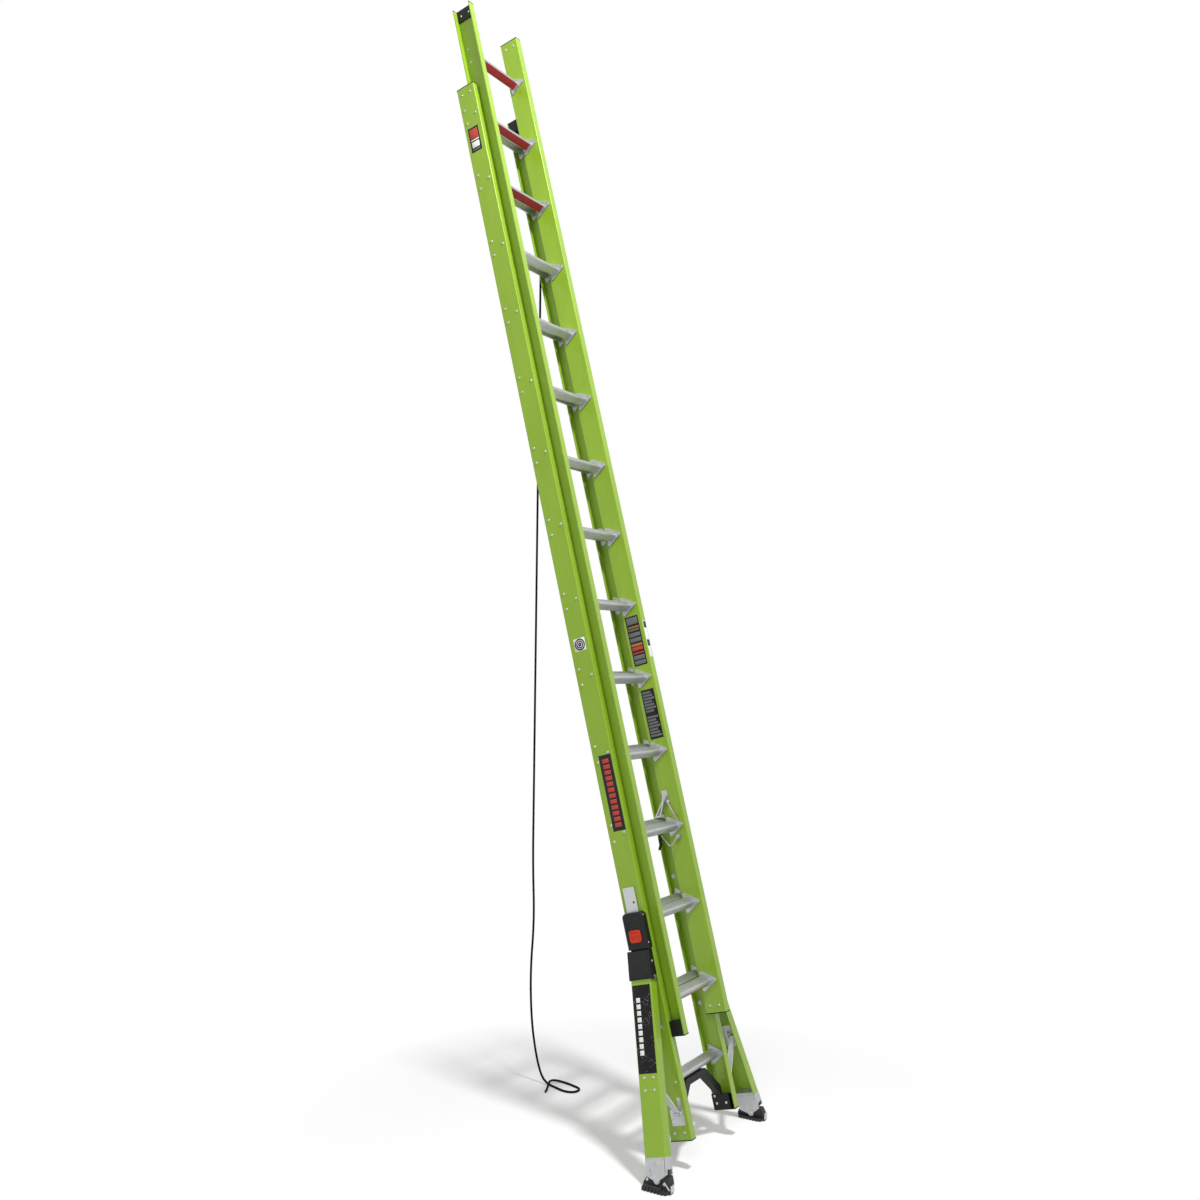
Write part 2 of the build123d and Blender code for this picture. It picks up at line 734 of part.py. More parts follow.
def strip(points, width, x0, x1):
    """Flat bar along straight runs in the (forward, up) plane."""
    bar = None
    for (n0, s0), (n1, s1) in zip(points, points[1:]):
        run = math.hypot(n1 - n0, s1 - s0)
        tilt = math.degrees(math.atan2(n1 - n0, s1 - s0))
        piece = Pos((x0 + x1) / 2, -(n0 + n1) / 2, (s0 + s1) / 2) * Rot(tilt, 0, 0) * Box(x1 - x0, width, run)
        ends = [rod_across(width / 2, x0, x1, n, s) for n, s in ((n0, s0), (n1, s1))]
        part = piece + ends[0] + ends[1]
        bar = part if bar is None else bar + part
    return bar


def make_locks():
    """Rung lock at each side: bracket on the fly, hook that sits over a base rung, wire and tongue."""
    rung_s = fly_raise + (lock_rung - 1) * rung_pitch
    base_s = lock_rung * rung_pitch
    hook_s = rung_s + hook_rise
    jaw_s = base_s + rung_half - (jaw_back - rung_back) * math.tan(rung_slope) + jaw_gap
    x0 = lock_x - hook_thickness / 2
    x1 = lock_x + hook_thickness / 2
    mid = jaw_s + jaw_height / 2
    hook = block((x0, x1), (jaw_back, jaw_front), (jaw_s, jaw_s + jaw_height))
    hook += strip([(jaw_back + lock_leg / 2, mid), (hook_n, hook_s)], lock_leg, x0, x1)
    hook += strip([(jaw_front - lock_leg, mid), (hook_n, hook_s)], lock_leg, x0, x1)
    hook += rod_across(hook_eye, x0, x1, hook_n, hook_s)
    hook -= rod_across(hook_pin + pin_clearance, x0 - 1, x1 + 1, hook_n, hook_s)
    save_pair("lock_hook", hook)

    web = fly_web_in
    leg_out = web - lock_plate
    plate_face = web - plate_thickness
    bracket = block((leg_out, web), (hook_n - 13, hook_n + 13), (hook_s - 20, hook_s + 30))
    apex_n = fly_offset + plate_back + plate_tip * 0.72
    bracket += strip([(hook_n + 4, hook_s - 10), (apex_n, rung_s + 8)], lock_leg, leg_out - 4, leg_out)
    bracket += block((leg_out - 4, plate_face), (apex_n - 9, apex_n + 4), (rung_s, rung_s + 14))
    bracket += rod_across(hook_pin, x0 - 3, leg_out, hook_n, hook_s)
    tongue_s = rung_s - tongue_pin_drop
    boss = rod_across(9, leg_out, web, tongue_pin_n, tongue_s)
    boss += rod_across(tongue_pin, x0 - 3, leg_out, tongue_pin_n, tongue_s)
    save_pair("lock_bracket", [bracket, boss])

    grip_n = 34.0
    grip_s = tongue_s + 14
    low = (66.0, tongue_s - 36)
    curl = [
        (grip_n, grip_s),
        (grip_n + 6, grip_s + 8),
        (grip_n - 6, grip_s + 8),
        (grip_n - 14, grip_s - 10),
        (grip_n - 15, grip_s - 34),
        (grip_n - 25, grip_s - 52),
        (grip_n - 19, grip_s - 54),
        (grip_n - 7, grip_s - 36),
        (grip_n - 5, grip_s - 14),
    ]
    tongue = prism_across(curl, lock_x - 5, lock_x + 5)
    save_pair("lock_tongue", tongue)

    path = FilletPolyline(
        (lock_x, -tongue_pin_n + 6, tongue_s - 4),
        (lock_x, -low[0], low[1]),
        (lock_x, -grip_n, grip_s),
        radius=8,
    )
    wire = sweep(Plane(origin=path @ 0, z_dir=path % 0) * Circle(wire_radius), path=path)
    wire += rod_across(tongue_pin + 4, x0, x1, tongue_pin_n, tongue_s)
    wire -= rod_across(tongue_pin + pin_clearance, x0 - 1, x1 + 1, tongue_pin_n, tongue_s)
    save_pair("lock_wire", wire - tongue)


def print_outrigger_motion():
    """Slide travel and angles between the spread and folded outrigger."""
    head_u, head_v = strut_head_on_leg()
    length = math.hypot(strut_head_x - strut_foot_x, strut_head_s - strut_foot_s)
    spread = math.degrees(math.atan2(strut_head_x - strut_foot_x, strut_head_s - strut_foot_s))
    offset = hinge_x + head_v - strut_foot_x
    folded = math.degrees(math.asin(offset / length))
    travel = strut_foot_s + math.sqrt(length ** 2 - offset ** 2) + head_u - hinge_s
    print("outrigger travel", round(travel, 3), "leg", splay, "strut", round(spread, 3), "to", round(folded, 3))


os.makedirs("parts", exist_ok=True)
make_base_rails()
make_fly_rails()
covered = (1, 2)
save("base_rungs", make_rungs(base_web_in, 0, 0))
save("fly_rungs", make_rungs(fly_web_in, fly_offset, fly_raise))
save("base_rivets", rung_rivets(base_half, 0, 0, covered))
save("fly_rivets", rung_rivets(fly_web_out, fly_offset, fly_raise, ()))
make_base_ends()
make_fly_ends()
make_brace()
make_track()
make_slider()
make_leg()
make_strut()
make_boot()
make_shoe()
make_pulley()
make_rope()
make_locks()
print_outrigger_motion()
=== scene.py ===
import bpy
import math
from collections import namedtuple
from mathutils import Matrix, Vector


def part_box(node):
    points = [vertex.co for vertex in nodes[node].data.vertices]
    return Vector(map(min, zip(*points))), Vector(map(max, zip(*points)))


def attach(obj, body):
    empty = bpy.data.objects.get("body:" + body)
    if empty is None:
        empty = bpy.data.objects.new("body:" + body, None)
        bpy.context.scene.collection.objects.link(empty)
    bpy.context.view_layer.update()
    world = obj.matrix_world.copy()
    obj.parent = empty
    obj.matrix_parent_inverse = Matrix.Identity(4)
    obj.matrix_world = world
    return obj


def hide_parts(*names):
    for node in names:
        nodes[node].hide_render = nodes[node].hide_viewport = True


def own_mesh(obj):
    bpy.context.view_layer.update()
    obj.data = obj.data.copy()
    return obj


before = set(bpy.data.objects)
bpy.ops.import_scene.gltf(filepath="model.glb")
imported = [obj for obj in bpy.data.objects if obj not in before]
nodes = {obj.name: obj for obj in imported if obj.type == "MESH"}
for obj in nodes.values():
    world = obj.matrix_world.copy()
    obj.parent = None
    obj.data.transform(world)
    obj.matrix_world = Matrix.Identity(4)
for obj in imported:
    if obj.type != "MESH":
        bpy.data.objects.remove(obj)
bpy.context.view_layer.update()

# The ladder's own axes, in metres: x across, n forward to the climber, s up the rails
# They start at the lowest base rung, at the back of the rails
LEAN = math.radians(14.4)
START = (0, 0.124, 0.2865)
LADDER = Matrix.Translation(START) @ Matrix.Rotation(-LEAN, 4, "X")

# A leg's own axes: v outward, n forward, u down from its hinge
HINGE_X = 0.222
HINGE_S = 0.381
SPLAY = math.radians(13.785)
LEG = LADDER @ Matrix.Translation((HINGE_X, 0, HINGE_S)) @ Matrix.Rotation(-SPLAY, 4, "Y")

# Turns that stand a piece modelled on z = 0 out of a face
OUTWARD = Matrix.Rotation(math.radians(90), 4, "Y")
INWARD = OUTWARD.inverted()
FORWARD = Matrix.Rotation(math.radians(90), 4, "X")
BACKWARD = FORWARD.inverted()
MIRROR = Matrix.Scale(-1, 4, (1, 0, 0))

# Rungs: their spacing, and a blunt wedge in section, from a flat back to a nose
RUNGS = 14
PITCH = 0.3048
RUNG_BACK = 0.016
RUNG_DEPTH = 0.042
RUNG_HALF = 0.028
RUNG_ROUND = 0.007
SLOPE = math.atan2(RUNG_HALF, RUNG_DEPTH)
END_PLATE = 0.005

# Where the fly section stands against the base section
FLY_RAISE = 0.2846
FLY_OFFSET = 0.0545

# Thicknesses of the plug, strut plate and brace plate in or on the rails, and the rails' depth
PLUG = 0.010
STRUT_PLATE = 0.003
BRACE_PLATE = 0.008
RAIL_DEPTH = 0.089

# Faces on the right that pieces stand on, across x
BASE_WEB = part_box("base_rail_right")[1][0]
BASE_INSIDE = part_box("base_rungs")[1][0]
FLY_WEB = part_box("fly_rail_right")[0][0]
PLUG_FACE = FLY_WEB + PLUG
TRACK_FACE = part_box("track_right")[1][0]
STRUT_PLATE_FACE = BASE_WEB + STRUT_PLATE
BRACE_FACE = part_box("bottom_brace")[1][0] - BRACE_PLATE

# The front of the fly rails, along n
FLY_FRONT = FLY_OFFSET + RAIL_DEPTH

# Outer faces of leg and boot, and of the shoe, along v
LEG_FACE = 0.0274
SHOE_FACE = 0.0204

# Rivet heads: radius and height
PLATE_RIVET = (0.0042, 0.0019)
END_RIVET = (0.0048, 0.002)
TRACK_RIVET = (0.004, 0.0018)
SLIDER_RIVET = (0.0036, 0.0016)
YOKE_RIVET = (0.0046, 0.002)
SHOE_RIVET = (0.0052, 0.0009)
BRACE_RIVET = (0.0052, 0.0022)
WEB_RIVET = (0.004, 0.0017)

# Printed films: thickness, and the softened edges of a film and of a bar on it
FILM = 0.0003
FILM_EDGE = 0.00012
BAR_EDGE = 0.0001

# The rope: its radius, the places of its two runs, and the heights where it meets and crests the wheel
ROPE_RADIUS = 0.00475
ROPE_N = 0.104
HAUL_X = 0.176
FREE_X = 0.236
MEETS_S = 3.912
CRESTS_S = 3.969

# The white ground: its colour, the glow of the floor where it is seen, and the light all round
WHITE = (1, 1, 1, 1)
FLOOR_LIFT = 0.2
WORLD_LIGHT = 0.27

# The photo's camera
CAMERA_PLACE = (-4.15539, -2.02016, 1.83194)
CAMERA_DEGREES = (92.89814, -0.59401, -58.57982)
CAMERA_LENS = 36.09
CAMERA_SENSOR = 36

# Points closer than this are the same point
TOUCH = 1e-5

Section = namedtuple("Section", "body face first back")


def section_of(body, first, back):
    """A ladder section: its body, the inner face of its end plates, its lowest rung and its back."""
    return Section(body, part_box(body + "_rungs")[1][0] - END_PLATE, first, back)


SECTIONS = (section_of("base", first=0.0, back=0.0), section_of("fly", first=FLY_RAISE, back=FLY_OFFSET))


def tint(r, g, b):
    """Linear colour from the 0 to 255 values of a colour picker."""
    def lin(v):
        v = v / 255
        return v / 12.92 if v < 0.04045 else ((v + 0.055) / 1.055) ** 2.4
    return (lin(r), lin(g), lin(b), 1)


class Wire:
    """A socket that takes part in sums."""

    def __init__(self, net, socket):
        self.net = net
        self.socket = socket

    def maths(self, operation, other):
        return self.net.node("ShaderNodeMath", {"operation": operation}, {0: self, 1: other})

    def __add__(self, other):
        return self.maths("ADD", other)

    def __mul__(self, other):
        return self.maths("MULTIPLY", other)

    def most(self, other):
        return self.maths("MAXIMUM", other)

    __radd__ = __add__
    __rmul__ = __mul__


class Net:
    """A node tree whose nodes all come from one method."""

    def __init__(self, tree):
        self.tree = tree

    def feed(self, socket, value):
        if isinstance(value, Wire):
            self.tree.links.new(value.socket, socket)
        else:
            socket.default_value = value

    def node(self, kind, settings=None, inputs=None, out=0):
        """A new node with its settings and the values or links of its sockets, as the output asked for."""
        made = self.tree.nodes.new(kind)
        for key, value in (settings or {}).items():
            if key == "stops":
                ramp = made.color_ramp
                while len(ramp.elements) < len(value):
                    ramp.elements.new(0.5)
                for element, (place, color) in zip(ramp.elements, value):
                    element.position = place
                    element.color = color
            else:
                setattr(made, key, value)
        for key, value in (inputs or {}).items():
            self.feed(made.inputs[key], value)
        return Wire(self, made.outputs[out])

    def shown_rays(self):
        """One where a ray from the eye, a reflection or a clear body meets the backdrop."""
        kinds = ("Is Camera Ray", "Is Glossy Ray", "Is Transmission Ray")
        eye, glossy, clear = [self.node("ShaderNodeLightPath", out=kind) for kind in kinds]
        return eye.most(glossy).most(clear)

    def show(self, shader):
        """Hand a shader to the tree's own output."""
        out = next(n for n in self.tree.nodes if n.type in ("OUTPUT_MATERIAL", "OUTPUT_WORLD"))
        self.feed(out.inputs["Surface"], shader)


class Finish(Net):
    """One material, built from a Principled shader."""

    def __init__(self, name, color, rough, metal=0.0, coat=0.0, coat_rough=0.1, specular=0.5):
        self.mat = bpy.data.materials.new(name)
        self.mat.use_nodes = True
        super().__init__(self.mat.node_tree)
        self.shader = next(n for n in self.tree.nodes if n.type == "BSDF_PRINCIPLED")
        self.put("Base Color", color)
        self.put("Roughness", rough)
        self.put("Metallic", metal)
        self.put("Coat Weight", coat)
        self.put("Coat Roughness", coat_rough)
        self.put("Specular IOR Level", specular)
        self.mat.diffuse_color = color

    def put(self, socket, value):
        self.feed(self.shader.inputs[socket], value)

    def place(self, turn=(0, 0, 0), stretch=(1, 1, 1)):
        """Object coordinates, turned and stretched."""
        here = self.node("ShaderNodeTexCoord", out="Object")
        inputs = {"Vector": here, "Rotation": turn, "Scale": stretch}
        return self.node("ShaderNodeMapping", {"vector_type": "POINT"}, inputs)

    def noise(self, where, scale, detail):
        inputs = {"Vector": where, "Scale": scale, "Detail": detail, "Roughness": 0.55}
        return self.node("ShaderNodeTexNoise", {"noise_dimensions": "3D"}, inputs, "Fac")

    def cells(self, where, scale):
        inputs = {"Vector": where, "Scale": scale}
        return self.node("ShaderNodeTexVoronoi", {"feature": "F1"}, inputs, "Distance")

    def ramp(self, value, stops):
        grey = [(p, (v, v, v, 1)) for p, v in stops]
        return self.node("ShaderNodeValToRGB", {"stops": grey}, {"Fac": value})

    def blend(self, factor, a, b):
        inputs = {0: factor, 6: a, 7: b}
        return self.node("ShaderNodeMix", {"data_type": "RGBA", "blend_type": "MIX"}, inputs, 2)

    def relief(self, height, strength, distance):
        inputs = {"Height": height, "Strength": strength, "Distance": distance}
        self.put("Normal", self.node("ShaderNodeBump", {}, inputs))


RAIL_TURN = (LEAN, 0, 0)


def fibreglass():
    """Pultruded green resin: long fibres along the rail under a clear skin."""
    f = Finish("fibreglass_green", tint(140, 176, 38), rough=0.34, coat=0.25, coat_rough=0.16)
    fibres = f.noise(f.place(RAIL_TURN, stretch=(1, 1, 0.03)), scale=420, detail=4)
    clouds = f.noise(f.place(RAIL_TURN, stretch=(1, 1, 0.35)), scale=9, detail=3)
    base = f.blend(clouds, tint(126, 164, 28), tint(150, 186, 42))
    streaks = f.ramp(fibres, [(0.35, 0), (0.75, 1)])
    f.put("Base Color", f.blend(streaks * 0.35, base, tint(164, 197, 60)))
    f.put("Roughness", 0.28 + fibres * 0.16)
    f.relief(fibres, strength=0.12, distance=0.0006)
    return f.mat


def rung_metal():
    """Extruded aluminium: drawn lines across the ladder and dull scuffed treads."""
    f = Finish("rung_aluminium", tint(196, 197, 199), rough=0.36, metal=0.92)
    lines = f.noise(f.place(stretch=(0.015, 1, 1)), scale=900, detail=3)
    scuffs = f.noise(f.place(stretch=(0.4, 1, 1)), scale=60, detail=4)
    dull = f.ramp(scuffs, [(0.45, 0), (0.8, 1)])
    bright = f.blend(lines, tint(182, 183, 186), tint(212, 213, 214))
    f.put("Base Color", f.blend(dull * 0.5, bright, tint(160, 161, 164)))
    f.put("Roughness", 0.3 + lines * 0.14 + dull * 0.16)
    f.relief(lines, strength=0.15, distance=0.0004)
    return f.mat


def sheet_metal():
    """Mill-finish strip with rolling lines up the rail."""
    f = Finish("mill_strip", tint(198, 199, 201), rough=0.38, metal=0.9)
    lines = f.noise(f.place(RAIL_TURN, stretch=(1, 1, 0.02)), scale=700, detail=3)
    spots = f.noise(f.place(), scale=140, detail=3)
    f.put("Base Color", f.blend(lines, tint(184, 186, 189), tint(212, 213, 214)))
    f.put("Roughness", 0.3 + lines * 0.12 + spots * 0.12)
    f.relief(lines, strength=0.12, distance=0.0004)
    return f.mat


def cast_metal():
    """Sand-cast aluminium with a pebbled skin."""
    f = Finish("cast_aluminium", tint(186, 187, 189), rough=0.52, metal=0.85)
    grain = f.noise(f.place(), scale=900, detail=3)
    patches = f.noise(f.place(), scale=45, detail=3)
    f.put("Base Color", f.blend(patches, tint(166, 168, 171), tint(202, 203, 204)))
    f.put("Roughness", 0.42 + grain * 0.22)
    f.relief(grain, strength=0.4, distance=0.0008)
    return f.mat


def zinc():
    """Zinc-plated steel with a faint spangle."""
    f = Finish("zinc_steel", tint(190, 191, 194), rough=0.33, metal=0.95)
    spangle = f.cells(f.place(), scale=420)
    haze = f.noise(f.place(), scale=70, detail=3)
    f.put("Base Color", f.blend(spangle, tint(176, 177, 181), tint(207, 208, 210)))
    f.put("Roughness", 0.26 + haze * 0.2)
    return f.mat


def black_mould():
    """Moulded black nylon: fine spark texture with worn, paler patches."""
    f = Finish("black_mould", tint(20, 21, 22), rough=0.48, specular=0.32)
    grain = f.noise(f.place(), scale=1500, detail=2)
    wear = f.ramp(f.noise(f.place(), scale=38, detail=5), [(0.5, 0), (0.85, 1)])
    f.put("Base Color", f.blend(wear * 0.6, tint(15, 17, 18), tint(34, 36, 37)))
    f.put("Roughness", 0.4 + grain * 0.16 + wear * 0.12)
    f.relief(grain, strength=0.25, distance=0.0003)
    return f.mat


def shoe_rubber():
    """Dull moulded rubber with a little floor dust in its grain."""
    f = Finish("shoe_rubber", tint(34, 34, 34), rough=0.72)
    grain = f.noise(f.place(), scale=1100, detail=3)
    dust = f.ramp(f.noise(f.place(), scale=55, detail=5), [(0.48, 0), (0.82, 1)])
    f.put("Base Color", f.blend(dust * 0.55, tint(28, 28, 29), tint(70, 69, 67)))
    f.put("Roughness", 0.62 + dust * 0.2)
    f.relief(grain, strength=0.35, distance=0.0004)
    return f.mat


def button_plastic():
    """Orange-red moulded plastic with a fine grain."""
    f = Finish("button_orange", tint(208, 56, 18), rough=0.4, specular=0.35)
    grain = f.noise(f.place(), scale=1300, detail=2)
    shade = f.noise(f.place(), scale=60, detail=3)
    f.put("Base Color", f.blend(shade, tint(200, 46, 12), tint(222, 66, 20)))
    f.put("Roughness", 0.3 + grain * 0.14)
    f.relief(grain, strength=0.15, distance=0.0003)
    return f.mat


def rope_braid():
    """Black braided cord: small crossing plaits with frayed paler threads."""
    f = Finish("rope_braid", tint(20, 20, 21), rough=0.8, specular=0.1)
    plaits = f.cells(f.place(turn=(0.6, 0.6, 0), stretch=(1, 1, 0.6)), scale=260)
    threads = f.noise(f.place(), scale=1800, detail=3)
    dark = f.blend(plaits, tint(24, 24, 25), tint(9, 9, 10))
    f.put("Base Color", f.blend(threads * 0.4, dark, tint(42, 42, 44)))
    f.put("Roughness", 0.72 + threads * 0.2)
    f.relief(plaits, strength=0.7, distance=0.0012)
    return f.mat


def film(name, color, other):
    """Printed film: one plain colour, faintly mottled."""
    f = Finish(name, color, rough=0.42, specular=0.3)
    cloud = f.noise(f.place(), scale=110, detail=4)
    grain = f.noise(f.place(), scale=1200, detail=2)
    f.put("Base Color", f.blend(cloud, color, other))
    f.put("Roughness", 0.34 + cloud * 0.16)
    f.relief(grain, strength=0.08, distance=0.0002)
    return f.mat


def film_speckle():
    """Black film with patches of grey flecks."""
    f = Finish("film_speckle", tint(18, 18, 20), rough=0.46, specular=0.2)
    patches = f.ramp(f.noise(f.place(), scale=26, detail=3), [(0.48, 0), (0.6, 1)])
    flecks = f.ramp(f.cells(f.place(), scale=150), [(0.22, 1), (0.3, 0)])
    cloud = f.noise(f.place(), scale=110, detail=4)
    base = f.blend(cloud, tint(12, 13, 14), tint(24, 24, 26))
    f.put("Base Color", f.blend(flecks * patches * 0.8, base, tint(150, 152, 156)))
    f.put("Roughness", 0.34 + cloud * 0.16)
    return f.mat


MAT = {
    "green": fibreglass(),
    "rung": rung_metal(),
    "strip": sheet_metal(),
    "cast": cast_metal(),
    "zinc": zinc(),
    "black": black_mould(),
    "rubber": shoe_rubber(),
    "button": button_plastic(),
    "rope": rope_braid(),
    "film_black": film("film_black", tint(16, 16, 17), tint(27, 27, 28)),
    "film_white": film("film_white", tint(240, 241, 239), tint(248, 248, 247)),
    "film_grey": film("film_grey", tint(102, 104, 106), tint(120, 122, 124)),
    "film_red": film("film_red", tint(186, 64, 54), tint(200, 78, 66)),
    "strip_red": film("strip_red", tint(158, 36, 42), tint(172, 46, 50)),
    "film_brown": film("film_brown", tint(178, 92, 34), tint(196, 112, 50)),
    "film_orange": film("film_orange", tint(182, 116, 36), tint(196, 132, 50)),
    "film_blue": film("film_blue", tint(18, 20, 32), tint(28, 31, 46)),
    "film_speckle": film_speckle(),
}


def wear_cad():
    """Give every carried-over solid its finish, by the start of its name, and black to the rest."""
    looks = (
        ("base_rail", "green"), ("fly_rail", "green"), ("leg_lug", "strip"), ("leg_pin", "zinc"),
        ("leg_rivets", "zinc"), ("leg", "green"), ("base_rungs", "rung"), ("fly_rungs", "rung"),
        ("base_rivets", "zinc"), ("fly_rivets", "zinc"), ("track", "strip"), ("strut_plate", "strip"),
        ("strut", "strip"), ("boot", "cast"), ("shoe_pin", "zinc"), ("shoe_spur", "zinc"),
        ("shoe", "rubber"), ("lock_bracket", "zinc"), ("lock_hook", "zinc"), ("lock_wire", "zinc"),
        ("pulley_bracket", "zinc"), ("rope_anchor", "zinc"), ("button", "button"), ("rope", "rope"),
    )
    for name, node in nodes.items():
        finish = next((look for start, look in looks if name.startswith(start)), "black")
        for holder in node.material_slots:
            holder.material = MAT[finish]


def clear_selection():
    if bpy.context.object and bpy.context.object.mode != "OBJECT":
        bpy.ops.object.mode_set(mode="OBJECT")
    bpy.ops.object.select_all(action="DESELECT")


def take_up(obj):
    """Make a piece the one that operators act on."""
    clear_selection()
    obj.select_set(True)
    bpy.context.view_layer.objects.active = obj


def pick_faces(obj, test):
    """Select in edit mode the faces whose normal passes the test."""
    bpy.ops.object.mode_set(mode="EDIT")
    bpy.ops.mesh.select_mode(type="FACE")
    bpy.ops.mesh.select_all(action="DESELECT")
    bpy.ops.object.mode_set(mode="OBJECT")
    for face in obj.data.polygons:
        face.select = test(face.normal)
    bpy.ops.object.mode_set(mode="EDIT")


def pick_edges(obj, test):
    """Select in edit mode the edges whose two ends pass the test."""
    bpy.ops.object.mode_set(mode="EDIT")
    bpy.ops.mesh.select_mode(type="EDGE")
    bpy.ops.mesh.select_all(action="DESELECT")
    bpy.ops.object.mode_set(mode="OBJECT")
    points = obj.data.vertices
    for edge in obj.data.edges:
        a, b = edge.vertices
        edge.select = test(points[a].co, points[b].co)
    bpy.ops.object.mode_set(mode="EDIT")


def faces_up(normal):
    return normal.z > 0.9


def faces_out(normal):
    return normal.x > 0.99


def faces_out_or_in(normal):
    return abs(normal.x) > 0.99


def smooth(obj, degrees=35):
    take_up(obj)
    bpy.ops.object.shade_smooth_by_angle(angle=math.radians(degrees))


def round_edges(obj, width, segments=2):
    take_up(obj)
    soft = obj.modifiers.new("soft_edges", "BEVEL")
    soft.width = width
    soft.segments = segments
    soft.limit_method = "ANGLE"
    bpy.ops.object.modifier_apply(modifier=soft.name)
    smooth(obj)


def plain_box(name, xs, ns, ss):
    """Plain box from its limits: across, forward and up the rails."""
    clear_selection()
    bpy.ops.mesh.primitive_cube_add(size=1, location=(sum(xs) / 2, -sum(ns) / 2, sum(ss) / 2))
    made = bpy.context.object
    made.name = name
    made.scale = (xs[1] - xs[0], ns[1] - ns[0], ss[1] - ss[0])
    bpy.ops.object.transform_apply(location=True, rotation=True, scale=True)
    return made


def block(name, xs, ns, ss, edge, segments=2):
    """Bar or plate with soft edges."""
    made = plain_box(name, xs, ns, ss)
    round_edges(made, edge, segments)
    return made


def rounded_plate(name, xs, ns, ss, corner, edge):
    """Plate that faces outward, with round corners and soft rims."""
    plate = plain_box(name, xs, ns, ss)
    pick_edges(plate, lambda a, b: abs(a.x - b.x) > TOUCH)
    bpy.ops.mesh.bevel(offset=corner, segments=6, affect="EDGES")
    bpy.ops.object.mode_set(mode="OBJECT")
    round_edges(plate, edge)
    return plate


def disc(sides, radius, low, high):
    """Upright prism between two heights."""
    clear_selection()
    middle = (0, 0, (low + high) / 2)
    bpy.ops.mesh.primitive_cylinder_add(vertices=sides, radius=radius, depth=high - low, location=middle)
    made = bpy.context.object
    bpy.ops.object.transform_apply(location=True, rotation=True, scale=True)
    return made


def sink(obj, test, rim, wall, depth):
    """Leave a rim round the chosen face and sink the rest behind a steep wall."""
    pick_faces(obj, test)
    bpy.ops.mesh.inset(thickness=rim, depth=0.0)
    bpy.ops.mesh.inset(thickness=wall, depth=-depth)
    bpy.ops.object.mode_set(mode="OBJECT")


def open_middle(plate, rim):
    """Cut a plate's middle out, so that a frame is left."""
    pick_faces(plate, faces_out_or_in)
    bpy.ops.mesh.inset(thickness=rim, depth=0.0)
    bpy.ops.mesh.bridge_edge_loops()
    bpy.ops.mesh.select_all(action="SELECT")
    bpy.ops.mesh.normals_make_consistent(inside=False)
    bpy.ops.object.mode_set(mode="OBJECT")


def rivet_head(radius, height):
    """Domed head standing on z = 0."""
    head = disc(sides=10, radius=radius, low=0, high=height * 0.35)
    for rise, shrink in ((0.43, 0.76), (0.22, 0.5)):
        pick_faces(head, faces_up)
        bpy.ops.mesh.extrude_region_move(TRANSFORM_OT_translate={"value": (0, 0, rise * height)})
        bpy.ops.transform.resize(value=(shrink, shrink, 1))
        bpy.ops.object.mode_set(mode="OBJECT")
    smooth(head, 60)
    return head


def washer_nut():
    """Hexagon nut on its washer, standing on z = 0."""
    washer_top = 0.0014
    nut_top = 0.0060
    edge = 0.0004
    washer = disc(sides=20, radius=0.0098, low=0, high=washer_top)
    round_edges(washer, edge, 1)
    nut = disc(sides=6, radius=0.0066, low=washer_top, high=nut_top)
    sink(nut, faces_up, rim=0.0026, wall=0.0002, depth=0.0012)
    round_edges(nut, edge, 1)
    return joined([washer, nut], "washer_nut")


def track_socket():
    """Black cup in the lock hole of the track, as painted shade where the hole is dark."""
    cup = disc(sides=20, radius=0.0042, low=0, high=0.0020)
    sink(cup, faces_up, rim=0.0006, wall=0.0001, depth=0.0016)
    smooth(cup)
    seat = TRACK_FACE - 0.0017
    cup.data.transform(at(seat, 0.0543, 0.653) @ OUTWARD)
    return cup


def at(x, n, s):
    return Matrix.Translation((x, -n, s))


def leg_at(v, n, u):
    return Matrix.Translation((v, -n, -u))


def on_face(face, spots, turn):
    """Places on a face across x at (forward, up) spots, turned to stand out of it."""
    return [at(face, n, s) @ turn for n, s in spots]


def both(places):
    """Places on the right, and the same on the left."""
    return places + [MIRROR @ place for place in places]


def set_mesh(mesh, place):
    """Put a mesh in its place, with its faces still outward where the place mirrors it."""
    mesh.transform(place)
    if place.determinant() < 0:
        mesh.flip_normals()


def twin(obj):
    """Copy with its own mesh."""
    copy = obj.copy()
    copy.data = obj.data.copy()
    bpy.context.scene.collection.objects.link(copy)
    return copy


def scatter(template, name, places):
    """Copies of one model at each place, joined into one piece."""
    copies = []
    for place in places:
        copy = twin(template)
        set_mesh(copy.data, place)
        copies.append(copy)
    bpy.data.objects.remove(template)
    return joined(copies, name)


def joined(parts, name):
    clear_selection()
    for part in parts:
        part.select_set(True)
    bpy.context.view_layer.objects.active = parts[0]
    if len(parts) > 1:
        bpy.ops.object.join()
    made = bpy.context.object
    made.name = name
    made.data.name = name
    return made


def finished(obj, look, body, place):
    """Set the piece in the ladder, give it its finish and let it ride on its body."""
    set_mesh(obj.data, place)
    obj.data.materials.clear()
    obj.data.materials.append(MAT[look])
    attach(obj, body)
    return obj


def pair(obj, name, look, body, place):
    """The piece on the right, and its mirror image on the left, each on the body of its side."""
    other = twin(obj)
    obj.name = name + "_right"
    other.name = name + "_left"
    finished(obj, look, body.replace("SIDE", "right"), place)
    finished(other, look, body.replace("SIDE", "left"), MIRROR @ place)


def rivets(name, size, places, body):
    """Heads of one size, as one piece."""
    finished(scatter(rivet_head(*size), name, places), "zinc", body, LADDER)


def rivet_pair(name, size, places, body, place):
    """Heads of one size on the right, and their mirror image on the left."""
    pair(scatter(rivet_head(*size), name, places), name, "zinc", body, place)


